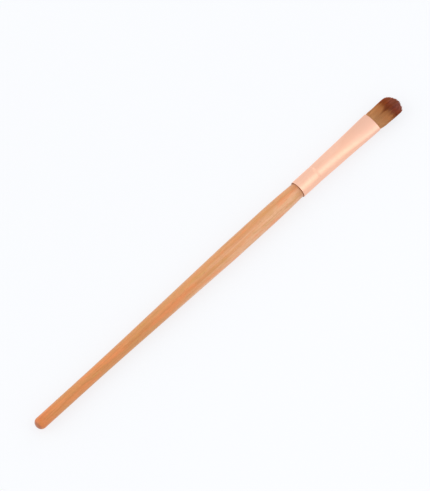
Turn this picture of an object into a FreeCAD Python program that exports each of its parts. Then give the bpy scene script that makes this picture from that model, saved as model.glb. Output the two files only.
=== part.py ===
import FreeCAD, Part
import os
import Sketcher
from FreeCAD import Placement, Rotation, Vector as V

# Eyeshadow brush lying on a table: +X runs from the butt of the handle to the toe of the tuft, Y is the width of the flat head, Z is up, and z = 0 is the table.
doc = FreeCAD.newDocument("eyeshadow_brush")
sheet = doc.addObject("Spreadsheet::Sheet", "dims")

CELLS = [
    # overall, along the axis
    ("overall_len", 170.0),
    ("handle_vis", 122.55),
    ("ferrule_len", 35.5),
    ("tuft_len", 11.95),
    # handle, turned: a plain cylindrical tail, a long cone eased in and out, a level belly that it lies on, a short neck into the ferrule
    ("tail_rad", 2.215),
    ("tail_len", 18.0),
    ("tail_round", 2.0),
    ("cone_from", 47.0),
    ("cone_to", 88.0),
    ("belly_from", 92.0),
    ("belly_to", 108.0),
    ("belly_rad", 3.15),
    ("neck_at", 117.0),
    ("neck_rad", 2.8),
    ("tenon_rad", 2.755),
    ("tenon_len", 14.0),
    ("tenon_bevel", 0.5),
    ("bite_depth", 0.09),
    # ferrule: round sleeve, rolled crimp, then pressed flat towards the mouth
    ("sleeve_rad", 3.135),
    ("wall", 0.3),
    ("sleeve_len", 9.7),
    ("crimp_at", 8.1),
    ("crimp_curve", 0.9),
    ("crimp_depth", 0.12),
    ("lip_round", 0.1),
    ("press_xa", 15.0),
    ("press_wa", 6.56),
    ("press_ta", 6.1),
    ("press_xb", 20.6),
    ("press_wb", 6.74),
    ("press_tb", 5.82),
    ("press_xc", 25.0),
    ("press_wc", 7.0),
    ("press_tc", 5.2),
    ("press_xd", 29.5),
    ("press_wd", 7.32),
    ("press_td", 4.5),
    ("press_xe", 33.0),
    ("press_we", 7.55),
    ("press_te", 4.02),
    ("press_wf", 7.62),
    ("press_tf", 3.9),
    # glue between tenon and sleeve, with its bead at the sleeve's edge
    ("glue_len", 7.5),
    ("bead_len", 0.36),
    ("bead_edge", 0.25),
    ("bead_low", 3.03),
    ("bead_rad", 3.1),
    ("bond_gap", 0.01),
    # resin and filament root inside the ferrule, measured from the ferrule's lower edge
    ("fill_gap", 0.03),
    ("resin_from", 15.0),
    ("resin_to", 24.0),
    ("butt_from", 18.5),
    ("butt_wide", 5.0),
    ("butt_thick", 4.2),
    ("root_to", 35.2),
    # bending tuft: a round knuckle on the hinge axis just above the mouth, then the filbert head
    ("hinge_out", 0.75),
    ("knuckle_rad", 1.5),
    ("knuckle_flat", 1.6),
    ("knuckle_wide", 6.4),
    ("knuckle_end", 0.35),
    ("knuckle_gap", 0.12),
    ("head_xa", 1.25),
    ("head_xb", 3.25),
    ("head_xc", 5.6),
    ("head_xd", 7.7),
    ("head_xe", 9.0),
    ("head_xf", 10.0),
    ("head_xg", 10.75),
    ("head_wz", 6.94),
    ("head_wa", 7.34),
    ("head_wb", 7.56),
    ("head_wc", 7.68),
    ("head_wd", 7.6),
    ("head_we", 7.2),
    ("head_wf", 6.4),
    ("head_wg", 4.4),
    ("head_wh", 2.2),
    ("head_tz", 3.16),
    ("head_ta", 3.56),
    ("head_tb", 3.96),
    ("head_tc", 3.94),
    ("head_td", 3.4),
    ("head_te", 2.7),
    ("head_tf", 1.95),
    ("head_tg", 1.2),
    ("head_th", 0.45),
]
D = {}
for i, (name, value) in enumerate(CELLS, start=1):
    sheet.set(f"A{i}", name)
    sheet.set(f"B{i}", str(value))
    sheet.setAlias(f"B{i}", name)
    D[name] = value
doc.recompute()

X_BUTT = "-dims.overall_len / 2"
X_FERRULE = "dims.handle_vis - dims.overall_len / 2"
X_HINGE = "dims.overall_len / 2 - dims.tuft_len + dims.hinge_out"
AXIS_Z = "dims.belly_rad"


def new_body(label, at_x):
    body = doc.addObject("PartDesign::Body", label)
    body.Label = label
    body.Placement = Placement(V(0, 0, D["belly_rad"]), Rotation())
    body.setExpression("Placement.Base.x", at_x)
    body.setExpression("Placement.Base.z", AXIS_Z)
    return body


def plane(body, role):
    return next(f for f in body.Origin.OriginFeatures if f.Role == role)


def new_sketch(body, name, role):
    sk = body.newObject("Sketcher::SketchObject", name)
    sk.AttachmentSupport = [(plane(body, role), "")]
    sk.MapMode = "FlatFace"
    return sk


def held(sk, kind, *args):
    return sk.addConstraint(Sketcher.Constraint(kind, *args))


def sized(sk, label, expr, kind, *args):
    n = held(sk, kind, *args)
    sk.renameConstraint(n, label)
    sk.setExpression("Constraints." + label, expr)
    return n


def line(sk, p, q):
    return sk.addGeometry(Part.LineSegment(V(p[0], p[1], 0), V(q[0], q[1], 0)), False)


def polygon(sk, points, rules):
    """Closed polygon whose corners are each set by two expressions. rules: one (x expression, y expression) for each corner; None keeps that coordinate level with the corner before it."""
    n = len(points)
    ids = [line(sk, points[k], points[(k + 1) % n]) for k in range(n)]
    for k in range(n):
        held(sk, "Coincident", ids[k], 2, ids[(k + 1) % n], 1)
    for k, (ex, ey) in enumerate(rules):
        if ex is None:
            held(sk, "Vertical", ids[k - 1])
        elif ex == "0":
            held(sk, "PointOnObject", ids[k], 1, -2)
        else:
            sized(sk, f"px{k}", ex, "DistanceX", -1, 1, ids[k], 1, points[k][0])
        if ey is None:
            held(sk, "Horizontal", ids[k - 1])
        elif ey == "0":
            held(sk, "PointOnObject", ids[k], 1, -1)
        else:
            sized(sk, f"py{k}", ey, "DistanceY", -1, 1, ids[k], 1, points[k][1])
    return ids


def circle_at(body, name, x, x_expr, rad, rad_expr):
    sk = new_sketch(body, name, "YZ_Plane")
    sk.AttachmentOffset = Placement(V(0, 0, x), Rotation())
    sk.setExpression("AttachmentOffset.Base.z", x_expr)
    c = sk.addGeometry(Part.Circle(V(0, 0, 0), V(0, 0, 1), rad), False)
    held(sk, "Coincident", c, 3, -1, 1)
    sized(sk, "round_size", rad_expr, "Radius", c, rad)
    return sk


def oval_at(body, name, x, x_expr, wide, wide_expr, thick, thick_expr):
    sk = new_sketch(body, name, "YZ_Plane")
    sk.AttachmentOffset = Placement(V(0, 0, x), Rotation())
    sk.setExpression("AttachmentOffset.Base.z", x_expr)
    e = sk.addGeometry(Part.Ellipse(V(0, 0, 0), wide / 2, thick / 2), False)
    sk.exposeInternalGeometry(e)
    held(sk, "Coincident", e, 3, -1, 1)
    held(sk, "Horizontal", e + 1)
    sized(sk, "wide", wide_expr, "Distance", e + 1, wide)
    sized(sk, "thick", thick_expr, "Distance", e + 2, thick)
    return sk


def loft(body, name, kind, sketches):
    f = body.newObject("PartDesign::" + kind, name)
    f.Profile = (sketches[0], [""])
    f.Sections = [(s, [""]) for s in sketches[1:]]
    f.Ruled = False
    f.Closed = False
    for s in sketches:
        s.Visibility = False
    doc.recompute()
    return f


def turned(body, name, kind, sk, axis):
    f = body.newObject("PartDesign::" + kind, name)
    f.Profile = (sk, [""])
    f.ReferenceAxis = (sk, [axis])
    f.Angle = 360.0
    sk.Visibility = False
    doc.recompute()
    return f


def rims(shape, x, *rads):
    """Names of the closed edges that lie in the plane at this x of the body and reach one of these distances from the axis in Y."""
    found = []
    for n, e in enumerate(shape.Edges, start=1):
        b = e.BoundBox
        if abs(b.XMin - x) < 1e-4 and abs(b.XMax - x) < 1e-4:
            if any(abs(b.YMax - r) < 2e-3 for r in rads):
                found.append(f"Edge{n}")
    return found


def cross_sections(body, tag, inset, inset_expr):
    """The ferrule's sections from the sleeve's end to the mouth, drawn in by this much on each side."""
    less = f" - 2 * ({inset_expr})" if inset else ""
    out = [
        circle_at(
            body,
            tag + "_round",
            D["sleeve_len"],
            "dims.sleeve_len",
            D["sleeve_rad"] - inset,
            "dims.sleeve_rad" + (f" - ({inset_expr})" if inset else ""),
        )
    ]
    for k in "abcdef":
        x = D["ferrule_len"] if k == "f" else D["press_x" + k]
        out.append(
            oval_at(
                body,
                f"{tag}_oval_{k}",
                x,
                "dims.ferrule_len" if k == "f" else "dims.press_x" + k,
                D["press_w" + k] - 2 * inset,
                f"dims.press_w{k}" + less,
                D["press_t" + k] - 2 * inset,
                f"dims.press_t{k}" + less,
            )
        )
    return out


# ---------------------------------------------------------------- handle
handle = new_body("handle", X_BUTT)
sk = new_sketch(handle, "handle_profile", "XZ_Plane")


def arc(sk, centre, rad, start, end):
    import math

    a0 = math.atan2(start[1] - centre[1], start[0] - centre[0])
    a1 = math.atan2(end[1] - centre[1], end[0] - centre[0])
    return sk.addGeometry(
        Part.ArcOfCircle(Part.Circle(V(centre[0], centre[1], 0), V(0, 0, 1), rad), a0, a1),
        False,
    )


ease_low, ease_high = D["cone_from"] - D["tail_len"], D["belly_from"] - D["cone_to"]
climb = (D["belly_rad"] - D["tail_rad"]) / (ease_low / 2 + D["cone_to"] - D["cone_from"] + ease_high / 2)
ease_neck = D["neck_at"] - D["belly_to"]
fall = (D["belly_rad"] - D["neck_rad"]) / (ease_neck / 2 + D["handle_vis"] - D["neck_at"])
p_tail = (D["tail_len"], D["tail_rad"])
p_from = (D["cone_from"], D["tail_rad"] + climb * ease_low / 2)
p_to = (D["cone_to"], D["belly_rad"] - climb * ease_high / 2)
p_land = (D["belly_from"], D["belly_rad"])
p_drop = (D["belly_to"], D["belly_rad"])
p_neck = (D["neck_at"], D["belly_rad"] - fall * ease_neck / 2)


def bend(p, q):
    """Radius of an arc that leaves p level and passes through q."""
    run, off = q[0] - p[0], abs(q[1] - p[1])
    return (run * run + off * off) / (2 * off)


r_low, r_high, r_neck = bend(p_tail, p_from), bend(p_land, p_to), bend(p_drop, p_neck)
x_end = D["handle_vis"] + D["tenon_len"]

g_butt = line(sk, (0, 0), (0, D["tail_rad"]))
g_tail = line(sk, (0, D["tail_rad"]), p_tail)
g_low = arc(sk, (p_tail[0], p_tail[1] + r_low), r_low, p_tail, p_from)
g_rise = line(sk, p_from, p_to)
g_high = arc(sk, (p_land[0], p_land[1] - r_high), r_high, p_land, p_to)
g_belly = line(sk, p_land, p_drop)
g_neck = arc(sk, (p_drop[0], p_drop[1] - r_neck), r_neck, p_neck, p_drop)
g_cone = line(sk, p_neck, (D["handle_vis"], D["neck_rad"]))
g_step = line(sk, (D["handle_vis"], D["neck_rad"]), (D["handle_vis"], D["tenon_rad"]))
g_tenon = line(sk, (D["handle_vis"], D["tenon_rad"]), (x_end, D["tenon_rad"]))
g_face = line(sk, (x_end, D["tenon_rad"]), (x_end, 0))
g_axis = line(sk, (x_end, 0), (0, 0))
held(sk, "Coincident", g_butt, 1, -1, 1)
held(sk, "Vertical", g_butt)
held(sk, "Coincident", g_butt, 2, g_tail, 1)
held(sk, "Horizontal", g_tail)
held(sk, "Tangent", g_tail, 2, g_low, 1)
held(sk, "Tangent", g_low, 2, g_rise, 1)
held(sk, "Tangent", g_rise, 2, g_high, 2)
held(sk, "Tangent", g_high, 1, g_belly, 1)
held(sk, "Horizontal", g_belly)
held(sk, "Tangent", g_belly, 2, g_neck, 2)
held(sk, "Tangent", g_neck, 1, g_cone, 1)
held(sk, "Coincident", g_cone, 2, g_step, 1)
held(sk, "Vertical", g_step)
held(sk, "Coincident", g_step, 2, g_tenon, 1)
held(sk, "Horizontal", g_tenon)
held(sk, "Coincident", g_tenon, 2, g_face, 1)
held(sk, "Vertical", g_face)
held(sk, "Coincident", g_face, 2, g_axis, 1)
held(sk, "Coincident", g_axis, 2, g_butt, 1)
held(sk, "Horizontal", g_axis)
sized(sk, "tail_len", "dims.tail_len", "DistanceX", -1, 1, g_tail, 2, p_tail[0])
sized(sk, "tail_rad", "dims.tail_rad", "DistanceY", -1, 1, g_tail, 2, p_tail[1])
sized(sk, "cone_from", "dims.cone_from", "DistanceX", -1, 1, g_low, 2, p_from[0])
sized(sk, "cone_to", "dims.cone_to", "DistanceX", -1, 1, g_rise, 2, p_to[0])
sized(sk, "belly_from", "dims.belly_from", "DistanceX", -1, 1, g_belly, 1, p_land[0])
sized(sk, "belly_to", "dims.belly_to", "DistanceX", -1, 1, g_belly, 2, p_drop[0])
sized(sk, "belly_rad", "dims.belly_rad", "DistanceY", -1, 1, g_belly, 1, p_land[1])
sized(sk, "neck_at", "dims.neck_at", "DistanceX", -1, 1, g_neck, 1, p_neck[0])
sized(sk, "vis", "dims.handle_vis", "DistanceX", -1, 1, g_cone, 2, D["handle_vis"])
sized(sk, "neck_rad", "dims.neck_rad", "DistanceY", -1, 1, g_cone, 2, D["neck_rad"])
sized(sk, "tenon_rad", "dims.tenon_rad", "DistanceY", -1, 1, g_tenon, 1, D["tenon_rad"])
sized(sk, "tenon_len", "dims.tenon_len", "DistanceX", g_tenon, 1, g_tenon, 2, D["tenon_len"])
doc.recompute()
handle_rev = turned(handle, "handle_turned", "Revolution", sk, "H_Axis")

# the ring in the tenon that the ferrule's crimp bites into
bite = new_sketch(handle, "tenon_bite", "XZ_Plane")
bx = D["handle_vis"] + D["crimp_at"]
by = D["tenon_rad"] + D["crimp_curve"] - D["bite_depth"]
c = bite.addGeometry(Part.Circle(V(bx, by, 0), V(0, 0, 1), D["crimp_curve"]), False)
sized(bite, "at_x", "dims.handle_vis + dims.crimp_at", "DistanceX", -1, 1, c, 3, bx)
sized(bite, "at_r", "dims.tenon_rad + dims.crimp_curve - dims.bite_depth", "DistanceY", -1, 1, c, 3, by)
sized(bite, "round_size", "dims.crimp_curve", "Radius", c, D["crimp_curve"])
doc.recompute()
handle_bite = turned(handle, "tenon_ring", "Groove", bite, "H_Axis")

soft = handle.newObject("PartDesign::Fillet", "butt_round")
soft.Base = (handle_bite, rims(handle_bite.Shape, 0.0, D["tail_rad"]))
soft.Radius = D["tail_round"]
soft.setExpression("Radius", "dims.tail_round")
doc.recompute()
lead = handle.newObject("PartDesign::Chamfer", "tenon_lead")
lead.Base = (soft, rims(soft.Shape, x_end, D["tenon_rad"]))
lead.Size = D["tenon_bevel"]
lead.setExpression("Size", "dims.tenon_bevel")
doc.recompute()

# ---------------------------------------------------------------- ferrule
ferrule = new_body("ferrule", X_FERRULE)
sk = new_sketch(ferrule, "sleeve_profile", "XZ_Plane")
r_in = D["sleeve_rad"] - D["wall"]
polygon(
    sk,
    [(0, r_in), (0, D["sleeve_rad"]), (D["sleeve_len"], D["sleeve_rad"]), (D["sleeve_len"], r_in)],
    [
        ("0", "dims.sleeve_rad - dims.wall"),
        ("0", "dims.sleeve_rad"),
        ("dims.sleeve_len", None),
        (None, "dims.sleeve_rad - dims.wall"),
    ],
)
doc.recompute()
turned(ferrule, "sleeve", "Revolution", sk, "H_Axis")
loft(ferrule, "pressed_outside", "AdditiveLoft", cross_sections(ferrule, "out", 0.0, ""))
loft(ferrule, "pressed_inside", "SubtractiveLoft", cross_sections(ferrule, "in", D["wall"], "dims.wall"))

# rolled crimp: a round-bottomed ring outside, and the bead that it pushes into the tenon inside
sk = new_sketch(ferrule, "crimp_outside", "XZ_Plane")
cy = D["sleeve_rad"] + D["crimp_curve"] - D["crimp_depth"]
c = sk.addGeometry(Part.Circle(V(D["crimp_at"], cy, 0), V(0, 0, 1), D["crimp_curve"]), False)
sized(sk, "at_x", "dims.crimp_at", "DistanceX", -1, 1, c, 3, D["crimp_at"])
sized(sk, "at_r", "dims.sleeve_rad + dims.crimp_curve - dims.crimp_depth", "DistanceY", -1, 1, c, 3, cy)
sized(sk, "round_size", "dims.crimp_curve", "Radius", c, D["crimp_curve"])
doc.recompute()
turned(ferrule, "crimp_ring", "Groove", sk, "H_Axis")

sk = new_sketch(ferrule, "crimp_inside", "XZ_Plane")
cy = r_in + D["crimp_curve"] - D["crimp_depth"]
top = r_in + 0.05
half = (D["crimp_curve"] ** 2 - (cy - top) ** 2) ** 0.5
g_arc = arc(sk, (D["crimp_at"], cy), D["crimp_curve"], (D["crimp_at"] - half, top), (D["crimp_at"] + half, top))
g_top = line(sk, (D["crimp_at"] + half, top), (D["crimp_at"] - half, top))
held(sk, "Coincident", g_arc, 2, g_top, 1)
held(sk, "Coincident", g_arc, 1, g_top, 2)
held(sk, "Horizontal", g_top)
sized(sk, "at_x", "dims.crimp_at", "DistanceX", -1, 1, g_arc, 3, D["crimp_at"])
sized(sk, "at_r", "dims.sleeve_rad - dims.wall + dims.crimp_curve - dims.crimp_depth", "DistanceY", -1, 1, g_arc, 3, cy)
sized(sk, "round_size", "dims.crimp_curve", "Radius", g_arc, D["crimp_curve"])
sized(sk, "top", "dims.sleeve_rad - dims.wall + 0.05", "DistanceY", -1, 1, g_top, 1, top)
doc.recompute()
crimp_bead = turned(ferrule, "crimp_bead", "Revolution", sk, "H_Axis")

lips = ferrule.newObject("PartDesign::Fillet", "rolled_lips")
lips.Base = (
    crimp_bead,
    rims(crimp_bead.Shape, 0.0, D["sleeve_rad"])
    + rims(crimp_bead.Shape, D["ferrule_len"], D["press_wf"] / 2, D["press_wf"] / 2 - D["wall"]),
)
lips.Radius = D["lip_round"]
lips.setExpression("Radius", "dims.lip_round")
doc.recompute()

# ---------------------------------------------------------------- glue between tenon and sleeve
glue = new_body("handle_glue", X_FERRULE)
sk = new_sketch(glue, "glue_profile", "XZ_Plane")
gap, gap_x = D["bond_gap"], "dims.bond_gap"
fall_x = "(dims.belly_rad - dims.neck_rad) / ((dims.neck_at - dims.belly_to) / 2 + dims.handle_vis - dims.neck_at)"
polygon(
    sk,
    [
        (gap, D["tenon_rad"] + gap),
        (gap, D["neck_rad"] + gap),
        (-D["bead_len"], D["neck_rad"] + fall * D["bead_len"] + gap),
        (-D["bead_edge"], D["bead_low"]),
        (-gap, D["bead_rad"]),
        (-gap, r_in - gap),
        (D["glue_len"], r_in - gap),
        (D["glue_len"], D["tenon_rad"] + gap),
    ],
    [
        (gap_x, "dims.tenon_rad + dims.bond_gap"),
        (None, "dims.neck_rad + dims.bond_gap"),
        ("-dims.bead_len", "dims.neck_rad + " + fall_x + " * dims.bead_len + dims.bond_gap"),
        ("-dims.bead_edge", "dims.bead_low"),
        ("-dims.bond_gap", "dims.bead_rad"),
        (None, "dims.sleeve_rad - dims.wall - dims.bond_gap"),
        ("dims.glue_len", None),
        (None, "dims.tenon_rad + dims.bond_gap"),
    ],
)
doc.recompute()
turned(glue, "glue_sleeve", "Revolution", sk, "H_Axis")

# ---------------------------------------------------------------- what fills the ferrule
INSET = D["wall"] + D["fill_gap"]
INSET_X = "dims.wall + dims.fill_gap"


def slab(name, x0, x1):
    """A plain block across the ferrule between two distances from its lower edge, each an expression in the sheet."""
    b = doc.addObject("Part::Box", name)
    b.Width = 20.0
    b.Height = 20.0
    b.setExpression("Length", f"({x1}) - ({x0})")
    b.setExpression("Placement.Base.x", f"{X_FERRULE} + ({x0})")
    b.setExpression("Placement.Base.y", "-10")
    b.setExpression("Placement.Base.z", AXIS_Z + " - 10")
    return b


def boolean(kind, label, base, tool):
    f = doc.addObject("Part::" + kind, label)
    f.Base, f.Tool = base, tool
    f.Label = label
    doc.recompute()
    return f


def butt_prism(label, x1_expr, extra_expr, extra):
    """The straight bundle of filament butts, grown by extra on each side."""
    body = new_body(label, X_FERRULE)
    sk = oval_at(
        body,
        label + "_oval",
        D["butt_from"] - extra,
        f"dims.butt_from - ({extra_expr})",
        D["butt_wide"] + 2 * extra,
        f"dims.butt_wide + 2 * ({extra_expr})",
        D["butt_thick"] + 2 * extra,
        f"dims.butt_thick + 2 * ({extra_expr})",
    )
    pad = body.newObject("PartDesign::Pad", label + "_pad")
    pad.Profile = (sk, [""])
    pad.setExpression("Length", f"({x1_expr}) - dims.butt_from + ({extra_expr})")
    sk.Visibility = False
    doc.recompute()
    return body


core_resin = new_body("resin_core", X_FERRULE)
loft(core_resin, "resin_bore", "AdditiveLoft", cross_sections(core_resin, "resin", INSET, INSET_X))
resin_block = boolean("Common", "resin_block", core_resin, slab("resin_span", "dims.resin_from", "dims.resin_to"))
pocket = butt_prism("resin_pocket", "dims.resin_to + 1", "dims.fill_gap", D["fill_gap"])
resin = boolean("Cut", "root_resin", resin_block, pocket)

core_root = new_body("root_core", X_FERRULE)
loft(core_root, "root_bore", "AdditiveLoft", cross_sections(core_root, "root", INSET, INSET_X))
root_block = boolean(
    "Common", "root_block", core_root, slab("root_span", "dims.resin_to + dims.fill_gap", "dims.root_to")
)
root_joined = boolean("Fuse", "root_joined", root_block, butt_prism("root_butt", "dims.resin_to + 1", "0", 0.0))


def knuckle(body, name, kind, grow, grow_expr):
    """A barrel about the hinge axis, with a plain cylinder in the middle."""
    plus = f" + ({grow_expr})" if grow else ""
    sk = new_sketch(body, name, "YZ_Plane")
    flat, wide = D["knuckle_flat"] / 2, D["knuckle_wide"] / 2 + grow
    rad, end = D["knuckle_rad"] + grow, D["knuckle_end"] + grow
    ddx, ddy = wide - flat, rad - end
    curve = (ddx * ddx + ddy * ddy) / (2 * ddy)
    g_top = line(sk, (-flat, rad), (flat, rad))
    g_r = arc(sk, (flat, rad - curve), curve, (wide, end), (flat, rad))
    g_re = line(sk, (wide, end), (wide, 0))
    g_base = line(sk, (wide, 0), (-wide, 0))
    g_le = line(sk, (-wide, 0), (-wide, end))
    g_l = arc(sk, (-flat, rad - curve), curve, (-flat, rad), (-wide, end))
    held(sk, "Tangent", g_top, 2, g_r, 2)
    held(sk, "Coincident", g_r, 1, g_re, 1)
    held(sk, "Vertical", g_re)
    held(sk, "Coincident", g_re, 2, g_base, 1)
    held(sk, "PointOnObject", g_base, 1, -1)
    held(sk, "PointOnObject", g_base, 2, -1)
    held(sk, "Coincident", g_base, 2, g_le, 1)
    held(sk, "Vertical", g_le)
    held(sk, "Coincident", g_le, 2, g_l, 2)
    held(sk, "Tangent", g_l, 1, g_top, 1)
    half, ends = "dims.knuckle_wide / 2" + plus, "dims.knuckle_end" + plus
    sized(sk, "round_size", "dims.knuckle_rad" + plus, "DistanceY", -1, 1, g_top, 1, rad)
    held(sk, "Horizontal", g_top)
    sized(sk, "flat_l", "-dims.knuckle_flat / 2", "DistanceX", -1, 1, g_top, 1, -flat)
    sized(sk, "flat_r", "dims.knuckle_flat / 2", "DistanceX", -1, 1, g_top, 2, flat)
    sized(sk, "wide_r", half, "DistanceX", -1, 1, g_base, 1, wide)
    sized(sk, "wide_l", f"-({half})", "DistanceX", -1, 1, g_base, 2, -wide)
    sized(sk, "end_r", ends, "DistanceY", -1, 1, g_re, 1, end)
    sized(sk, "end_l", ends, "DistanceY", -1, 1, g_le, 2, end)
    doc.recompute()
    return turned(body, name + "_barrel", kind, sk, "H_Axis")


cup = new_body("root_cup", X_HINGE)
knuckle(cup, "cup_profile", "Revolution", D["knuckle_gap"], "dims.knuckle_gap")
root = boolean("Cut", "tuft_root", root_joined, cup)

# ---------------------------------------------------------------- bending tuft
tuft = new_body("tuft", X_HINGE)
knuckle(tuft, "knuckle_profile", "Revolution", 0.0, "")
heads = [
    oval_at(tuft, "head_z", 0.0, "0", D["head_wz"], "dims.head_wz", D["head_tz"], "dims.head_tz")
]
for k in "abcdefgh":
    at = "dims.tuft_len - dims.hinge_out" if k == "h" else "dims.head_x" + k
    heads.append(
        oval_at(
            tuft,
            "head_" + k,
            D["tuft_len"] - D["hinge_out"] if k == "h" else D["head_x" + k],
            at,
            D["head_w" + k],
            "dims.head_w" + k,
            D["head_t" + k],
            "dims.head_t" + k,
        )
    )
loft(tuft, "head", "AdditiveLoft", heads)

doc.recompute()

# ---------------------------------------------------------------- checks and files
NODES = [handle, ferrule, glue, resin, root, tuft]
bad = [o.Name for o in doc.Objects if {"Invalid", "Error"} & set(o.State)]
if bad:
    raise RuntimeError("not built: " + ", ".join(bad))
os.makedirs("parts", exist_ok=True)
for o in NODES:
    s = o.Shape
    if s.isNull() or not s.isValid() or not s.Solids:
        raise RuntimeError(o.Label + " is not a valid solid")
    s.exportStep(f"parts/{o.Label}.step")
    b = s.BoundBox
    print(
        f"{o.Label}: {len(s.Solids)} solid, {s.Volume:.2f} mm3, x {b.XMin:.3f}..{b.XMax:.3f}, y {b.YMin:.3f}..{b.YMax:.3f}, z {b.ZMin:.3f}..{b.ZMax:.3f}"
    )
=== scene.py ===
import math

import bpy
import numpy as np
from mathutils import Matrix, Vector


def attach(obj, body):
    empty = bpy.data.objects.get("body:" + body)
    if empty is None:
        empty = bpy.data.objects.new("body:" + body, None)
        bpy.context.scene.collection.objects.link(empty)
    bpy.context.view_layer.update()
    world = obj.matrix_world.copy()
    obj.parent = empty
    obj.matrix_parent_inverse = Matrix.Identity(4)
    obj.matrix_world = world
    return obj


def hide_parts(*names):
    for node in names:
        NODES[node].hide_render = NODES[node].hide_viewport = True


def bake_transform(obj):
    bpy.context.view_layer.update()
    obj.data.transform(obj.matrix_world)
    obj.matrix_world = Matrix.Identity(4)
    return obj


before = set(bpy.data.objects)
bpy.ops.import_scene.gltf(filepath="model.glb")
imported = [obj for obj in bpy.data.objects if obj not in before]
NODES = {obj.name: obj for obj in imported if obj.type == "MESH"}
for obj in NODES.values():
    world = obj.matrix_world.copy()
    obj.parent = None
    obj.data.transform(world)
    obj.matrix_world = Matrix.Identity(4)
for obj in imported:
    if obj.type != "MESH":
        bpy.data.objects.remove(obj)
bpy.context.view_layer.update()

MM = 0.001

# The brush in its own frame, in millimetres: the axis is at z = AXIS, the butt at X_BUTT, the ferrule's lower edge at X_FERRULE, its mouth at X_MOUTH.
AXIS = 3.15
X_BUTT, X_FERRULE, X_MOUTH = -85.0, 37.55, 73.05


# ---------------------------------------------------------------- helpers
def srgb(r, g, b, a=1.0):
    """A display colour in 0..255 as linear light."""
    out = []
    for c in (r, g, b):
        c = c / 255.0
        out.append(c / 12.92 if c <= 0.04045 else ((c + 0.055) / 1.055) ** 2.4)
    return (out[0], out[1], out[2], a)


def smooth_curve(xs, ys, x):
    """Monotone cubic through the points (xs, ys)."""
    xs, ys, x = np.asarray(xs, float), np.asarray(ys, float), np.asarray(x, float)
    h, d = np.diff(xs), np.diff(ys) / np.diff(xs)
    m = np.zeros(len(xs))
    for k in range(1, len(xs) - 1):
        if d[k - 1] * d[k] > 0:
            w1, w2 = 2 * h[k] + h[k - 1], h[k] + 2 * h[k - 1]
            m[k] = (w1 + w2) / (w1 / d[k - 1] + w2 / d[k])
    m[0], m[-1] = d[0], d[-1]
    x = np.clip(x, xs[0], xs[-1])
    i = np.clip(np.searchsorted(xs, x, side="right") - 1, 0, len(xs) - 2)
    t = (x - xs[i]) / h[i]
    return (
        (2 * t**3 - 3 * t**2 + 1) * ys[i]
        + (t**3 - 2 * t**2 + t) * h[i] * m[i]
        + (-2 * t**3 + 3 * t**2) * ys[i + 1]
        + (t**3 - t**2) * h[i] * m[i + 1]
    )


def make_object(name, verts_mm, faces, uvs=None, values=None):
    """A smooth-shaded mesh from points in millimetres. uvs has one pair for each corner of each face, values maps an attribute's name to one number for each point."""
    me = bpy.data.meshes.new(name)
    v = np.asarray(verts_mm, np.float32) * MM
    sizes = np.array([len(f) for f in faces], np.int32)
    flat = np.concatenate([np.asarray(f, np.int32) for f in faces])
    me.vertices.add(len(v))
    me.vertices.foreach_set("co", v.ravel())
    me.loops.add(len(flat))
    me.loops.foreach_set("vertex_index", flat)
    me.polygons.add(len(sizes))
    me.polygons.foreach_set("loop_start", np.concatenate([[0], np.cumsum(sizes)[:-1]]).astype(np.int32))
    me.update(calc_edges=True)
    me.polygons.foreach_set("use_smooth", np.ones(len(sizes), bool))
    if uvs is not None:
        layer = me.uv_layers.new(name="OFBake")
        layer.data.foreach_set("uv", np.asarray(uvs, np.float32).ravel())
    for key, val in (values or {}).items():
        at = me.attributes.new(key, "FLOAT", "POINT")
        at.data.foreach_set("value", np.asarray(val, np.float32))
    me.validate()
    me.update()
    ob = bpy.data.objects.new(name, me)
    bpy.context.scene.collection.objects.link(ob)
    return ob


def skin(rings, n, v_at, closed, caps=None):
    """Points, faces and corner UVs of a skin over rings of n points each. closed joins the last ring to the first; caps are the points that close the two ends of an open skin."""
    verts = [p for r in rings for p in r]
    faces, uvs = [], []
    m = len(rings)
    for i in range(m if closed else m - 1):
        j = (i + 1) % m
        va, vb = v_at[i], v_at[i + 1]
        for k in range(n):
            l = (k + 1) % n
            faces.append((i * n + k, i * n + l, j * n + l, j * n + k))
            ua, ub = k / n, (k + 1) / n
            uvs += [(ua, va), (ub, va), (ub, vb), (ua, vb)]
    if caps is not None:
        a, b = len(verts), len(verts) + 1
        verts += [caps[0], caps[1]]
        for k in range(n):
            l = (k + 1) % n
            faces.append((a, l, k))
            uvs += [((k + 0.5) / n, 0.0), ((k + 1) / n, v_at[0]), (k / n, v_at[0])]
            e = (m - 1) * n
            faces.append((b, e + k, e + l))
            uvs += [((k + 0.5) / n, 1.0), (k / n, v_at[-1]), ((k + 1) / n, v_at[-1])]
    return verts, faces, uvs


def lengths(points, share=None):
    """Places along a path in 0..1, by length; share scales the length of each step."""
    p = np.asarray(points, float)
    step = np.linalg.norm(np.diff(p, axis=0), axis=1)
    if share is not None:
        step = step * np.asarray(share)
    at = np.concatenate([[0], np.cumsum(step)])
    return at / at[-1]


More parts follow.
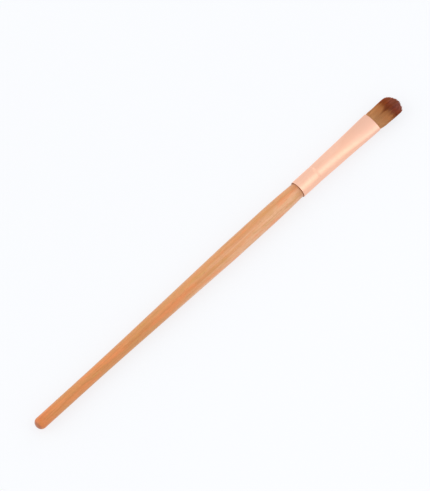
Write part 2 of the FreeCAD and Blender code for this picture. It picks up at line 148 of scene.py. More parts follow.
class Graph:
    """Short hand for building a node material."""

    def __init__(self, name):
        self.mat = bpy.data.materials.new(name)
        self.mat.use_nodes = True
        self.nt = self.mat.node_tree
        self.nt.nodes.clear()
        self.out = self.nt.nodes.new("ShaderNodeOutputMaterial")

    def node(self, kind, **props):
        n = self.nt.nodes.new(kind)
        for k, v in props.items():
            setattr(n, k, v)
        return n

    def link(self, a, b):
        self.nt.links.new(a, b)

    def put(self, socket, value):
        if isinstance(value, bpy.types.NodeSocket):
            self.link(value, socket)
        else:
            socket.default_value = value

    def math(self, op, a, b=None, c=None, clamp=False):
        n = self.node("ShaderNodeMath", operation=op, use_clamp=clamp)
        for i, x in enumerate((a, b, c)):
            if x is not None:
                self.put(n.inputs[i], x)
        return n.outputs[0]

    def remap(self, x, a, b, c=0.0, d=1.0, kind="SMOOTHSTEP"):
        n = self.node("ShaderNodeMapRange", interpolation_type=kind, clamp=True)
        self.put(n.inputs["Value"], x)
        for key, val in (("From Min", a), ("From Max", b), ("To Min", c), ("To Max", d)):
            self.put(n.inputs[key], val)
        return n.outputs["Result"]

    def mix(self, fac, a, b, blend="MIX"):
        n = self.node("ShaderNodeMix", data_type="RGBA", blend_type=blend, clamp_factor=True)
        self.put(n.inputs[0], fac)
        self.put(n.inputs[6], a)
        self.put(n.inputs[7], b)
        return n.outputs[2]

    def grey(self, x):
        n = self.node("ShaderNodeCombineColor")
        for k in range(3):
            self.put(n.inputs[k], x)
        return n.outputs[0]

    def ramp(self, x, stops, kind="LINEAR"):
        n = self.node("ShaderNodeValToRGB")
        n.color_ramp.interpolation = kind
        els = n.color_ramp.elements
        while len(els) < len(stops):
            els.new(0.5)
        for e, (pos, col) in zip(els, stops):
            e.position, e.color = pos, col
        self.put(n.inputs[0], x)
        return n.outputs[0]

    def noise(self, vec, scale=1.0, detail=2.0, rough=0.5, distort=0.0):
        n = self.node("ShaderNodeTexNoise", noise_dimensions="3D")
        self.link(vec, n.inputs["Vector"])
        n.inputs["Scale"].default_value = scale
        n.inputs["Detail"].default_value = detail
        n.inputs["Roughness"].default_value = rough
        n.inputs["Distortion"].default_value = distort
        return n.outputs[0]

    def stretch(self, vec, sx, sy, sz, off=(0, 0, 0)):
        n = self.node("ShaderNodeMapping")
        self.link(vec, n.inputs["Vector"])
        n.inputs["Scale"].default_value = (sx, sy, sz)
        n.inputs["Location"].default_value = off
        return n.outputs[0]

    def place(self):
        return self.node("ShaderNodeTexCoord").outputs["Object"]

    def along_x(self, vec):
        n = self.node("ShaderNodeSeparateXYZ")
        self.link(vec, n.inputs[0])
        return n.outputs[0]

    def attr(self, name):
        n = self.node("ShaderNodeAttribute", attribute_type="GEOMETRY", attribute_name=name)
        return n.outputs["Fac"]

    def bump(self, height, strength, distance):
        n = self.node("ShaderNodeBump")
        n.inputs["Strength"].default_value = strength
        n.inputs["Distance"].default_value = distance
        self.link(height, n.inputs["Height"])
        return n.outputs[0]

    def shader(self, **sockets):
        n = self.node("ShaderNodeBsdfPrincipled")
        for key, val in sockets.items():
            self.put(n.inputs[key.replace("_", " ")], val)
        self.link(n.outputs[0], self.out.inputs["Surface"])
        return n


def paint(ob, mat):
    ob.data.materials.clear()
    ob.data.materials.append(mat)


# ---------------------------------------------------------------- materials
def wood_material():
    g = Graph("lacquered_wood")
    p = g.place()
    xyz = g.node("ShaderNodeSeparateXYZ")
    g.link(p, xyz.inputs[0])
    x, y, z = xyz.outputs
    along = g.remap(x, -0.085, 0.038, 0.0, 1.0, "LINEAR")
    body = g.ramp(
        along,
        [
            (0.0, srgb(207, 110, 47)),
            (0.035, srgb(211, 126, 64)),
            (0.10, srgb(207, 136, 74)),
            (0.45, srgb(206, 140, 84)),
            (0.72, srgb(214, 149, 95)),
            (1.0, srgb(212, 151, 99)),
        ],
    )
    # paler sapwood comes in on one side of the belly, with a streaky border along the grain
    streak = g.noise(g.stretch(p, 26.0, 760.0, 760.0, (1.3, 0.2, 0.0)), 1.0, 3.0, 0.6, 0.2)
    side = g.math("MULTIPLY_ADD", y, -955.0, g.math("MULTIPLY_ADD", z, -298.0, 0.94))
    depth = g.math("ADD", side, g.math("MULTIPLY_ADD", x, 48.0, -1.15))
    depth = g.math("ADD", depth, g.math("MULTIPLY_ADD", streak, 3.6, -1.8))
    col = g.mix(g.remap(depth, -0.7, 1.0, 0.0, 0.85), body, srgb(228, 173, 132))
    # and a second, narrower pale layer beside it
    layer = g.math("ADD", side, g.math("MULTIPLY_ADD", streak, 1.6, -0.15))
    near = g.remap(g.math("ABSOLUTE", layer), 0.30, 0.80, 1.0, 0.0)
    near = g.math("MULTIPLY", near, g.remap(x, -0.022, 0.006, 0.0, 0.50))
    col = g.mix(near, col, srgb(228, 176, 138))
    # a darker heart streak lies in the middle of the layers and runs out in the belly
    heart = g.math("ABSOLUTE", g.math("ADD", side, g.math("MULTIPLY_ADD", streak, 0.8, -0.60)))
    heart = g.math("MULTIPLY", g.remap(heart, 0.10, 1.05, 1.0, 0.0), g.remap(x, -0.022, 0.014, 0.66, 0.0))
    heart = g.math("MULTIPLY", heart, g.remap(x, -0.0840, -0.0785, 0.25, 1.0))
    col = g.mix(heart, col, srgb(190, 113, 42))
    # and a fainter one runs on from there to the ferrule
    faint = g.math("ABSOLUTE", g.math("ADD", side, g.math("MULTIPLY_ADD", streak, 0.7, 0.95)))
    faint = g.math("MULTIPLY", g.remap(faint, 0.15, 0.80, 1.0, 0.0), g.remap(x, -0.012, 0.004, 0.0, 0.42))
    col = g.mix(faint, col, srgb(194, 128, 74))
    # broad figure: patches that run with the grain, some redder and some more olive
    patch = g.noise(g.stretch(p, 70.0, 480.0, 480.0), 1.0, 2.0, 0.55, 0.4)
    col = g.mix(g.remap(patch, 0.50, 0.68, 0.0, 0.48), col, srgb(232, 134, 74))
    col = g.mix(g.remap(patch, 0.48, 0.32, 0.0, 0.50), col, srgb(200, 145, 72))
    mottle = g.noise(g.stretch(p, 620.0, 1300.0, 1300.0, (5.0, 3.0, 2.0)), 1.0, 2.0, 0.5, 0.3)
    col = g.mix(g.remap(mottle, 0.52, 0.70, 0.0, 0.26), col, srgb(234, 138, 84))
    col = g.mix(g.remap(mottle, 0.48, 0.30, 0.0, 0.26), col, srgb(196, 140, 74))
    # straight grain lines
    broad = g.noise(g.stretch(p, 22.0, 1500.0, 1500.0, (3.1, 0.0, 1.7)), 1.0, 3.0, 0.6, 0.15)
    fine = g.noise(g.stretch(p, 70.0, 5200.0, 5200.0, (0.4, 2.2, 0.0)), 1.0, 3.0, 0.65, 0.1)
    col = g.mix(g.remap(broad, 0.45, 0.30, 0.0, 0.30), col, srgb(176, 98, 48))
    col = g.mix(g.remap(broad, 0.56, 0.72, 0.0, 0.32), col, srgb(228, 162, 106))
    col = g.mix(g.remap(fine, 0.46, 0.30, 0.0, 0.26), col, srgb(150, 76, 36))
    # short dark pores and pale rays
    pore = g.noise(g.stretch(p, 520.0, 9500.0, 9500.0), 1.0, 1.0, 0.4)
    pore_m = g.remap(pore, 0.66, 0.74)
    col = g.mix(g.math("MULTIPLY", pore_m, 0.30), col, srgb(116, 54, 24))
    ray = g.noise(g.stretch(p, 380.0, 4300.0, 4300.0, (7.0, 1.0, 4.0)), 1.0, 1.0, 0.4)
    col = g.mix(g.remap(ray, 0.66, 0.78, 0.0, 0.30), col, srgb(234, 170, 116))
    # the end grain of the butt takes the stain darker, with painted shade on the butt's end face; the wood also darkens
    # towards the glue line
    col = g.mix(g.remap(x, -0.08385, -0.08470, 0.0, 0.58), col, srgb(132, 82, 62))
    col = g.mix(g.remap(x, 0.0340, 0.0373, 0.0, 0.42), col, srgb(178, 112, 76))
    wear = g.noise(g.stretch(p, 160.0, 300.0, 300.0), 1.0, 3.0, 0.6)
    rough = g.remap(wear, 0.3, 0.7, 0.42, 0.54, "LINEAR")
    relief = g.math("SUBTRACT", fine, g.math("MULTIPLY", pore_m, 0.6))
    g.shader(
        Base_Color=col,
        Roughness=rough,
        Normal=g.bump(relief, 0.12, 0.00004),
        Coat_Weight=0.45,
        Coat_Roughness=0.30,
        Coat_IOR=1.45,
        Specular_IOR_Level=0.35,
    )
    return g.mat


def metal_material():
    g = Graph("rose_metal")
    p = g.place()
    cloud = g.noise(g.stretch(p, 90.0, 260.0, 260.0), 1.0, 3.0, 0.6)
    col = g.mix(g.remap(cloud, 0.35, 0.68), (0.965, 0.565, 0.405, 1.0), (0.975, 0.605, 0.450, 1.0))
    # drawn tube: fine rings round it and faint rubs along it
    rings = g.noise(g.stretch(p, 5200.0, 40.0, 40.0), 1.0, 2.0, 0.6)
    rubs = g.noise(g.stretch(p, 60.0, 2600.0, 2600.0, (2.0, 5.0, 1.0)), 1.0, 3.0, 0.6)
    col = g.mix(g.remap(rings, 0.42, 0.25, 0.0, 0.25), col, (0.90, 0.50, 0.36, 1.0))
    col = g.mix(g.remap(rubs, 0.60, 0.75, 0.0, 0.25), col, (0.98, 0.68, 0.53, 1.0))
    # painted shade: the metal darkens towards the mouth, where the tube flattens
    col = g.mix(g.remap(g.along_x(p), 0.0585, 0.0715, 0.0, 0.85), col, (0.900, 0.545, 0.410, 1.0))
    rough = g.math(
        "ADD",
        g.remap(cloud, 0.3, 0.7, 0.43, 0.50, "LINEAR"),
        g.remap(rings, 0.35, 0.7, -0.03, 0.04, "LINEAR"),
    )
    g.shader(
        Base_Color=col,
        Metallic=1.0,
        Roughness=rough,
        Normal=g.bump(rings, 0.08, 0.00003),
    )
    return g.mat


def glue_material():
    g = Graph("brown_glue")
    p = g.place()
    n = g.noise(g.stretch(p, 900.0, 900.0, 900.0), 1.0, 3.0, 0.6)
    col = g.mix(g.remap(n, 0.35, 0.68), srgb(122, 70, 42), srgb(164, 104, 66))
    g.shader(
        Base_Color=col,
        Roughness=g.remap(n, 0.3, 0.7, 0.30, 0.48, "LINEAR"),
        Normal=g.bump(n, 0.2, 0.00006),
        Specular_IOR_Level=0.45,
        IOR=1.48,
    )
    return g.mat


def resin_material():
    g = Graph("amber_resin")
    p = g.place()
    n = g.noise(g.stretch(p, 420.0, 420.0, 420.0), 1.0, 3.0, 0.55, 0.6)
    col = g.ramp(n, [(0.3, srgb(150, 92, 36)), (0.55, srgb(186, 124, 56)), (0.75, srgb(206, 150, 84))])
    g.shader(Base_Color=col, Roughness=g.remap(n, 0.3, 0.7, 0.18, 0.3, "LINEAR"), Normal=g.bump(n, 0.15, 0.0001), IOR=1.52)
    return g.mat


def root_material():
    g = Graph("filament_root")
    p = g.place()
    n = g.noise(g.stretch(p, 60.0, 8000.0, 8000.0), 1.0, 2.0, 0.6)
    col = g.ramp(n, [(0.3, srgb(112, 72, 44)), (0.5, srgb(168, 120, 78)), (0.72, srgb(200, 152, 108))])
    g.shader(Base_Color=col, Roughness=0.6, Normal=g.bump(n, 0.6, 0.00008))
    return g.mat


def filament_material():
    """Dyed filament, with painted shade on the filaments of one parting. from_tip is the distance from the filament's
    own tip, and the dark reach attribute how far the dark colour runs, both in millimetres: dye on most filaments,
    painted shade on those of the parting. tone, warm and cool differ from one filament to the next; tone is also
    lowered on the parting's filaments as painted shade.
    """
    g = Graph("filament")
    from_tip, dye_and_shade = g.attr("from_tip"), g.attr("dye_and_shade")
    tone, warm, cool = g.attr("tone"), g.attr("warm"), g.attr("cool")
    plain = g.ramp(
        g.remap(from_tip, 2.0, 12.0, 0.0, 1.0, "LINEAR"),
        [
            (0.0, srgb(186, 120, 70)),
            (0.35, srgb(197, 134, 84)),
            (0.75, srgb(205, 152, 104)),
            (1.0, srgb(203, 152, 106)),
        ],
    )
    dyed = g.ramp(
        g.remap(from_tip, 0.0, 4.0, 0.0, 1.0, "LINEAR"),
        [
            (0.0, srgb(164, 96, 78)),
            (0.25, srgb(154, 68, 43)),
            (0.6, srgb(132, 60, 29)),
            (1.0, srgb(152, 84, 40)),
        ],
    )
    dyed = g.mix(warm, dyed, srgb(176, 90, 24))
    dyed = g.mix(cool, dyed, srgb(146, 80, 72))
    plain = g.mix(g.math("MULTIPLY", warm, 0.40), plain, srgb(196, 120, 50))
    dyed = g.mix(1.0, dyed, g.grey(tone), "MULTIPLY")
    plain = g.mix(1.0, plain, g.grey(g.math("MULTIPLY_ADD", tone, 0.28, 0.72)), "MULTIPLY")
    col = g.mix(g.remap(g.math("SUBTRACT", from_tip, dye_and_shade), -1.4, 1.3), dyed, plain)
    g.shader(
        Base_Color=col,
        Roughness=g.remap(from_tip, 0.0, 11.0, 0.60, 0.45, "LINEAR"),
        Specular_IOR_Level=0.14,
        IOR=1.5,
    )
    return g.mat


def floor_material():
    g = Graph("pale_floor")
    p = g.place()
    n = g.noise(g.stretch(p, 3.0, 3.0, 3.0), 1.0, 2.0, 0.5)
    col = g.mix(g.remap(n, 0.3, 0.7), (0.196, 0.199, 0.202, 1.0), (0.204, 0.207, 0.210, 1.0))
    g.shader(
        Base_Color=col,
        Roughness=0.9,
        Specular_IOR_Level=0.0,
        Emission_Color=(0.965, 0.975, 1.0, 1.0),
        Emission_Strength=0.766,
    )
    return g.mat


# ---------------------------------------------------------------- handle
def handle_radius(x):
    """The turned profile between the rounded butt and the ferrule, x from the butt."""
    x = np.asarray(x, float)
    climb = (3.15 - 2.215) / (29.0 / 2 + 41.0 + 4.0 / 2)
    fall = (3.15 - 2.8) / (9.0 / 2 + 5.55)
    return np.select(
        [x < 18, x < 47, x < 88, x < 92, x < 108, x < 117],
        [
            np.full_like(x, 2.215),
            2.215 + climb * (x - 18) ** 2 / 58.0,
            2.215 + climb * (14.5 + x - 47),
            3.15 - climb * (92 - x) ** 2 / 8.0,
            np.full_like(x, 3.15),
            3.15 - fall * (x - 108) ** 2 / 18.0,
        ],
        3.15 - fall * (4.5 + x - 117),
    )


def build_handle():
    n = 96
    path = []
    for q in np.linspace(0.0, math.pi / 2, 19):
        path.append((2.0 * (1 - math.cos(q)), 0.215 + 2.0 * math.sin(q)))
    for x in np.concatenate([np.arange(2.5, 121.5, 0.9), [121.9, 122.2, 122.4, 122.51]]):
        path.append((x, float(handle_radius(x))))
    path += [(122.55, 2.795), (122.55, 2.76), (122.59, 2.755)]
    path += [(x, 2.755) for x in np.arange(123.5, 135.9, 1.2)] + [(136.05, 2.755), (136.55, 2.255), (136.55, 1.1)]
    path = [(0.0, 0.11)] + path
    ang = 2 * np.pi * np.arange(n) / n
    rings = [
        np.stack([np.full(n, X_BUTT + x), r * np.cos(ang), AXIS + r * np.sin(ang)], -1) for x, r in path
    ]
    share = [1.0 if x < 122.5 else 0.25 for x, _ in path[1:]]
    v = 0.004 + 0.992 * lengths(path, share)
    verts, faces, uvs = skin(rings, n, v, False, ((X_BUTT, 0, AXIS), (X_BUTT + 136.55, 0, AXIS)))
    return make_object("handle_wood", verts, faces, uvs)


# ---------------------------------------------------------------- ferrule
S_AT = [9.7, 15.0, 20.6, 25.0, 29.5, 33.0, 35.5]
S_WIDE = [6.27, 6.56, 6.74, 7.00, 7.32, 7.55, 7.62]
S_THICK = [6.27, 6.10, 5.82, 5.20, 4.50, 4.02, 3.90]


def ferrule_half(s):
    """Half width and half thickness of the outside, s from the lower edge."""
    if s <= 9.7:
        d = abs(s - 8.1)
        groove = 0.110 * math.exp(-((d / 0.28) ** 2))
        swell = 0.006 * math.exp(-(((d - 0.72) / 0.22) ** 2))
        r = 3.135 - groove + swell
        return r, r
    return float(smooth_curve(S_AT, S_WIDE, s)) / 2, float(smooth_curve(S_AT, S_THICK, s)) / 2


def build_ferrule():
    n, wall, lip = 128, 0.3, 0.1
    outside = [
        0.1, 0.16, 0.3, 0.6, 1.0, 1.6, 2.4, 3.2, 4.0, 4.8, 5.5, 6.1, 6.5, 6.8, 7.0, 7.15, 7.3, 7.42, 7.52, 7.6,
        7.66, 7.72, 7.8, 7.88, 7.96, 8.03, 8.1, 8.17, 8.24, 8.32, 8.4, 8.48, 8.54, 8.6, 8.68, 8.78, 8.9, 9.1, 9.4, 9.7,
    ]
    outside += list(np.arange(10.1, 35.1, 0.4)) + [35.2, 35.32, 35.4]
    path = [(0.0, 0.26), (0.0, 0.16)]
    for q in np.linspace(0.0, math.pi / 2, 7)[:-1]:
        path.append((lip * (1 - math.cos(q)), lip * (1 - math.sin(q))))
    path += [(s, 0.0) for s in outside]
    for q in np.linspace(0.0, math.pi / 2, 7)[1:]:
        path.append((35.4 + lip * math.sin(q), lip * (1 - math.cos(q))))
    for q in np.linspace(0.0, math.pi / 2, 7):
        path.append((35.5 - lip * (1 - math.cos(q)), wall - lip * (1 - math.sin(q))))
    path += [(s, wall) for s in list(np.arange(35.0, 10.0, -0.8)) + [9.7, 8.6, 6.0, 3.0, 0.6, 0.06, 0.02]]
    ang = 2 * np.pi * np.arange(n) / n
    rings, flat = [], []
    for s, inset in path:
        w, t = ferrule_half(s if inset < 0.2 or s > 9.7 else 4.0)
        rings.append(
            np.stack(
                [
                    np.full(n, X_FERRULE + s),
                    (w - inset) * np.cos(ang),
                    AXIS + (t - inset) * np.sin(ang),
                ],
                -1,
            )
        )
        flat.append((s, -inset))
    flat.append(flat[0])
    share = [0.12 if (a[1] < -0.25 and b[1] < -0.25) else 1.0 for a, b in zip(flat[:-1], flat[1:])]
    v = 0.004 + 0.992 * lengths(flat, share)
    verts, faces, uvs = skin(rings, n, v, True)
    return make_object("ferrule_tube", verts, faces, uvs)


# ---------------------------------------------------------------- glue line
def build_glue():
    n = 120
    rng = np.random.default_rng(311)
    ang = 2 * np.pi * np.arange(n) / n

    def wavy(amount, orders):
        out = np.zeros(n)
        for k in orders:
            out += rng.normal() * np.cos(k * ang + rng.uniform(0, 2 * np.pi)) / math.sqrt(k)
        return amount * out / max(1e-9, np.abs(out).max())

    reach, proud = wavy(0.04, (1, 2, 3, 5, 8)), wavy(0.012, (2, 3, 7, 11))
    fall = 0.35 / 10.05
    rings, flat = [], []

    def ring(x, r):
        x = np.broadcast_to(np.asarray(x, float), (n,))
        r = np.broadcast_to(np.asarray(r, float), (n,))
        rings.append(np.stack([X_FERRULE + x, r * np.cos(ang), AXIS + r * np.sin(ang)], -1))
        flat.append((float(x.mean()), float(r.mean())))

    # the tube sits a little off the square, so the bead is longer on one side than on the other
    tip = -0.250 + reach - 0.085 * np.cos(ang + 0.1)
    for q in np.linspace(0.0, 1.0, 9):
        # a rounded bead from the handle's neck out to the ferrule's lip
        a = q * math.pi / 2
        low = 2.812 + fall * 0.28
        ring(tip * math.cos(a) ** 0.8 - 0.012, low + (3.092 + proud - low) * math.sin(a) ** 0.75)
    ring(-0.012, 2.95)
    ring(-0.012, 2.83)
    ring(0.012, 2.823)
    for x in (0.6, 2.0, 4.0, 6.0, 7.4):
        ring(x, 2.823)
    ring(7.5, 2.80)
    ring(7.5, 2.77)
    for x in (6.0, 4.0, 2.0, 0.6, 0.02):
        ring(x, 2.766)
    ring(0.012, 2.80)
    ring(-0.01, 2.815)
    flat.append(flat[0])
    share = [1.0 if a[0] < 0.02 else 0.1 for a in flat[:-1]]
    v = 0.01 + 0.98 * lengths(flat, share)
    verts, faces, uvs = skin(rings, n, v, True)
    return make_object("glue_line", verts, faces, uvs)


# ---------------------------------------------------------------- tuft
def build_tuft():
    """Single filaments, set on a close grid in the ferrule's mouth, each a thin closed tube that follows the tuft's outline up to its own length."""
    rng = np.random.default_rng(20417)
    pitch, r0 = 0.092, 0.0465
    a0, b0 = 3.445, 1.585
    pts = []
    row = 0
    y = -b0
    while y <= b0:
        xs = np.arange(-a0, a0 + pitch, pitch) + (pitch / 2 if row % 2 else 0.0)
        for x in xs:
            if (x / a0) ** 2 + (y / b0) ** 2 <= 1.0:
                pts.append((x, y))
        y += pitch * math.sqrt(3) / 2
        row += 1
    root = np.array(pts)
    root = root + np.clip(rng.normal(0, 0.024, root.shape), -0.06, 0.06)
    root = root / np.maximum(1.0, np.sqrt(((root / [a0, b0]) ** 2).sum(1)))[:, None]
    eta, zeta = root[:, 0] / a0, root[:, 1] / b0
    count = len(root)
    rho = np.sqrt(eta**2 + zeta**2)

    # how far each filament reaches above the mouth: blunt across the flat, rounded over the thickness, a little longer on one side
    side = -eta  # positive towards -Y
    drop = smooth_curve(
        [-1.0, -0.95, -0.90, -0.81, -0.63, -0.45, -0.27, -0.10, 0.13, 0.36, 0.54, 0.72, 0.81, 0.905, 0.96, 1.0],
        [4.2, 2.9, 2.3, 1.72, 1.08, 0.70, 0.34, 0.10, 0.06, 0.27, 0.62, 0.99, 1.28, 1.58, 1.92, 2.8],
        side,
    )
    reach = 11.74 - drop - 2.7 * np.abs(zeta) ** 2.4
    reach = reach + rng.normal(0, 0.13, count) - np.abs(rng.normal(0, 0.12, count))

    # locks: filaments lean together a little towards the tip
    seeds = 64
    centres = np.stack([rng.uniform(-1, 1, seeds * 3), rng.uniform(-1, 1, seeds * 3)], -1)
    centres = centres[(centres**2).sum(1) < 1.0][:seeds]
    d2 = ((np.stack([eta, zeta], -1)[:, None, :] * [3.7, 1.9] - centres[None] * [3.7, 1.9]) ** 2).sum(-1)
    lock = d2.argmin(1)
    lock_in = np.stack([centres[lock, 0] - eta, centres[lock, 1] - zeta], -1)
    lock_lean = rng.normal(0, 1, (len(centres), 2)) * [0.05, 0.05]
    lock_len = rng.normal(0, 0.05, len(centres))
    reach = np.clip(reach + lock_len[lock], 5.0, 11.88)
    lean = rng.normal(0, 1, (count, 2)) * [0.035, 0.03]
    loose = rng.random(count) < 0.03
    lean[loose] += rng.normal(0, 1, (loose.sum(), 2)) * [0.12, 0.08]
    bow = rng.normal(0, 1, (count, 2)) * [0.02, 0.02]

    h_at = [-0.6, 0.0, 0.35, 0.9, 2.0, 4.0, 6.2, 8.0, 9.5, 11.95]
    wide = [3.442, 3.450, 3.57, 3.69, 3.76, 3.81, 3.91, 3.96, 3.95, 3.85]
    thick = [1.583, 1.588, 1.66, 1.75, 1.84, 1.91, 1.89, 1.76, 1.60, 1.38]
    f = np.array([0.0, 0.042, 0.075, 0.12, 0.21, 0.33, 0.46, 0.57, 0.68, 0.78, 0.87, 0.945, 1.0])
    rings = len(f)
    h = -0.5 + (reach[:, None] + 0.5) * f[None, :]
    w, t = smooth_curve(h_at, wide, h), smooth_curve(h_at, thick, h)
    free = np.clip(h / 11.2, 0, 1)
    draw = 0.22 * free**2.2
    ey = eta[:, None] + lock_in[:, :1] * draw
    ez = zeta[:, None] + lock_in[:, 1:] * draw
    cy = ey * w + (lean[:, :1] + lock_lean[lock, :1]) * free**1.6 + bow[:, :1] * np.sin(np.pi * free)
    cz = ez * t + (lean[:, 1:] + lock_lean[lock, 1:]) * free**1.6 + bow[:, 1:] * np.sin(np.pi * free)
    # the whole tuft stands slightly to one side of the mouth
    rise = np.clip(h / 3.0, 0, 1)
    cy = cy - 0.17 * rise**2 * (3 - 2 * rise) - 0.11 * free**2
    cx = h
    rad = r0 * np.where(f < 0.6, 1.0, 1.0 - 0.45 * (np.clip(f - 0.6, 0, None) / 0.4) ** 1.4)
    rad = rad[None, :] * (1 + rng.normal(0, 0.06, count))[:, None]

    # colours of single filaments, in a limited number of kinds
    kinds_r = 8
    wander = side + rng.normal(0, 0.06, count)
    region = np.searchsorted([-0.72, -0.40, -0.12, 0.10, 0.42, 0.76], wander)
    alike = rng.integers(0, kinds_r, len(centres))[lock]
    kind = region * kinds_r + np.where(rng.random(count) < 0.6, alike, rng.integers(0, kinds_r, count))
    # in the middle of the upper face a short wedge of filaments is darker, with the dark colour reaching further down:
    # painted shade standing in for a parting between two locks
    wedge = np.where(side < 0.05, (0.05 - side) / 0.26, (side - 0.05) / 0.12)
    painted_parting_shade = (wedge < 1.0) & (zeta > 0.34)
    kind[painted_parting_shade] = 56 + np.minimum(7, 8.0 * wedge[painted_parting_shade]).astype(int)
    k_rng = np.random.default_rng(77)
    dye_and_shade, tone, warm, cool = (np.zeros(64) for _ in range(4))
    for k in range(64):
        r = k // kinds_r
        # kinds 56 to 63 are the parting's filaments: a longer dark reach and a lower tone paint its shade
        dye_and_shade[k] = [3.4, 3.4, 3.5, 4.1, 2.9, 2.95, 3.8][r] + k_rng.normal(0, 0.45) if r < 7 else 5.1 - 0.22 * (k - 56)
        tone[k] = np.clip([1.05, 1.02, 1.0, 0.86, 0.96, 0.98, 1.05, 0.72][r] + (k_rng.normal(0, 0.13) if r < 7 else 0.26 * (1 - 0.6 ** (k - 56))), 0.5, 1.35)
        warm[k] = np.clip([0.25, 0.45, 0.10, 0.05, 0.05, 0.08, 0.05, 0.22][r] + k_rng.normal(0, 0.14), 0, 0.9)
        cool[k] = np.clip([0.05, 0.0, 0.0, 0.08, 0.32, 0.05, 0.15, 0.1][r] + k_rng.normal(0, 0.12), 0, 0.9)
    sides = 4
    spin = rng.uniform(0, np.pi / 2, count)
    made = []
    outer = (rho > 0.70) | painted_parting_shade
    for name, chosen in (("tuft_outer", np.where(outer)[0]), ("tuft_inner", np.where(~outer)[0])):
        c = len(chosen)
        per = rings * sides + 2
        a = spin[chosen][:, None, None] + np.arange(sides)[None, None, :] * (2 * np.pi / sides)
        rr = rad[chosen][:, :, None]
        px = np.broadcast_to((X_MOUTH + cx[chosen])[:, :, None], (c, rings, sides))
        py = cy[chosen][:, :, None] + rr * np.cos(a)
        pz = AXIS + cz[chosen][:, :, None] + rr * np.sin(a)
        body = np.stack([px, py, pz], -1).reshape(c, rings * sides, 3)
        foot = np.stack([X_MOUTH + cx[chosen, 0], cy[chosen, 0], AXIS + cz[chosen, 0]], -1)[:, None]
        head = np.stack(
            [
                X_MOUTH + cx[chosen, -1] + 0.05,
                cy[chosen, -1] + (cy[chosen, -1] - cy[chosen, -2]) * 0.1,
                AXIS + cz[chosen, -1] + (cz[chosen, -1] - cz[chosen, -2]) * 0.1,
            ],
            -1,
        )[:, None]
        verts = np.concatenate([body, foot, head], 1).reshape(-1, 3)
        quads, quad_side, tris, tri_side = [], [], [], []
        for i in range(rings - 1):
            for s in range(sides):
                q = (s + 1) % sides
                quads.append((i * sides + s, i * sides + q, (i + 1) * sides + q, (i + 1) * sides + s))
                quad_side.append((s, s + 1, s + 1, s))
        foot_i, head_i = rings * sides, rings * sides + 1
        for s in range(sides):
            q = (s + 1) % sides
            tris.append((foot_i, q, s))
            tri_side.append((s + 0.5, s + 1, s))
            tris.append((head_i, (rings - 1) * sides + s, (rings - 1) * sides + q))
            tri_side.append((s + 0.5, s, s + 1))
        quads, tris = np.array(quads), np.array(tris)
        base = (np.arange(c) * per)[:, None, None]
        faces = [tuple(x) for x in (quads[None] + base).reshape(-1, 4)]
        faces += [tuple(x) for x in (tris[None] + base).reshape(-1, 3)]
        from_tip = reach[chosen][:, None] - h[chosen]
        at = np.concatenate([np.repeat(from_tip, sides, axis=1), from_tip[:, :1], np.full((c, 1), -0.05)], 1)
        # each kind has its own column of the map, with the four sides next to each other in it
        kk = kind[chosen]
        column = kk[:, None, None]
        uq = (column + 0.2 + 0.6 * np.array(quad_side)[None] / sides) / 64.0
        ut = (column + 0.2 + 0.6 * np.array(tri_side)[None] / sides) / 64.0
        vq = at[:, quads.ravel()].reshape(c, -1, 4)
        vt = at[:, tris.ravel()].reshape(c, -1, 3).copy()
        vt[:, 0::2, 0] += 0.06
        uvs = np.concatenate(
            [
                np.stack([uq, 0.02 + 0.96 * (vq + 0.1) / 12.8], -1).reshape(-1, 2),
                np.stack([ut, 0.02 + 0.96 * (vt + 0.1) / 12.8], -1).reshape(-1, 2),
            ]
        )
        values = {"from_tip": np.clip(at, 0, None).reshape(-1)}
        for key, val in (("dye_and_shade", dye_and_shade), ("tone", tone), ("warm", warm), ("cool", cool)):
            values[key] = np.repeat(val[kk], per)
        made.append(make_object(name, verts, faces, uvs, values))
    print("filaments", count, "outer", int(outer.sum()))
    return made


# ---------------------------------------------------------------- the brush
wood, metal, glue_mat, filament = wood_material(), metal_material(), glue_material(), filament_material()

handle = build_handle()
paint(handle, wood)
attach(handle, "brush")
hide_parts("handle")

ferrule = build_ferrule()
paint(ferrule, metal)
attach(ferrule, "brush")
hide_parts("ferrule")

glue = build_glue()
paint(glue, glue_mat)
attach(glue, "brush")
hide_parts("handle_glue")

for tuft in build_tuft():
    paint(tuft, filament)
    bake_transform(tuft)
    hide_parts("tuft")

paint(NODES["root_resin"], resin_material())
paint(NODES["tuft_root"], root_material())

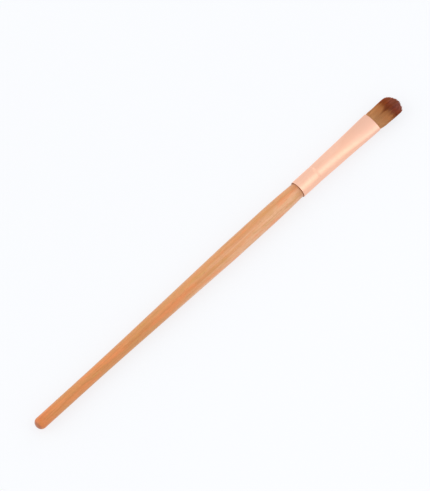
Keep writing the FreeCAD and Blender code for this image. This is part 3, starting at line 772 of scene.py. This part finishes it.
# ---------------------------------------------------------------- floor, light and camera
n_rim = 128
rim = [(6000.0 * math.cos(2 * math.pi * k / n_rim), 6000.0 * math.sin(2 * math.pi * k / n_rim), 0.0) for k in range(n_rim)]
floor = make_object("floor", rim, [tuple(range(n_rim))])
paint(floor, floor_material())

scene = bpy.context.scene
world = bpy.data.worlds.new("studio")
scene.world = world
world.use_nodes = True
wt = world.node_tree
wt.nodes.clear()
w_out = wt.nodes.new("ShaderNodeOutputWorld")
w_bg = wt.nodes.new("ShaderNodeBackground")
w_bg.inputs["Color"].default_value = (0.975, 0.985, 1.0, 1.0)
w_bg.inputs["Strength"].default_value = 0.90
wt.links.new(w_bg.outputs[0], w_out.inputs["Surface"])


def softbox(name, at, aim, size, power, colour=(1.0, 1.0, 1.0)):
    data = bpy.data.lights.new(name, "AREA")
    data.shape, data.size, data.size_y = "RECTANGLE", size[0], size[1]
    data.energy, data.color = power, colour
    ob = bpy.data.objects.new(name, data)
    ob.location = at
    ob.rotation_mode = "QUATERNION"
    ob.rotation_quaternion = (Vector(aim) - Vector(at)).to_track_quat("-Z", "Y")
    scene.collection.objects.link(ob)
    return ob


softbox("key", (-1.617, 1.253, 1.253), (0.0, 0.0, 0.0), (2.6, 2.0), 18.0)
softbox("fill", (1.50, 0.35, 0.70), (0.05, 0.0, 0.0), (1.2, 0.9), 3.0)
softbox("band", (0.223, -0.353, 0.455), (0.05, 0.0, 0.003), (0.22, 0.70), 0.54)

cam_data = bpy.data.cameras.new("camera")
cam_data.type = "PERSP"
cam_data.lens, cam_data.sensor_width = 700.0, 36.0
cam_data.clip_start, cam_data.clip_end = 0.01, 60.0
cam = bpy.data.objects.new("camera", cam_data)
az, el, dist = math.radians(-44.53846), math.radians(67.0), 3.20662
back = Vector((math.sin(az) * math.cos(el), -math.cos(az) * math.cos(el), math.sin(el)))
cam.location = Vector((0.003363, 0.005072, 0.00315)) + back * dist
cam.rotation_mode = "QUATERNION"
cam.rotation_quaternion = (-back).to_track_quat("-Z", "Y")
scene.collection.objects.link(cam)
scene.camera = cam

scene.view_settings.view_transform = "Standard"
scene.view_settings.look = "None"
scene.view_settings.exposure = 0.0
scene.view_settings.gamma = 1.0

bpy.context.view_layer.update()
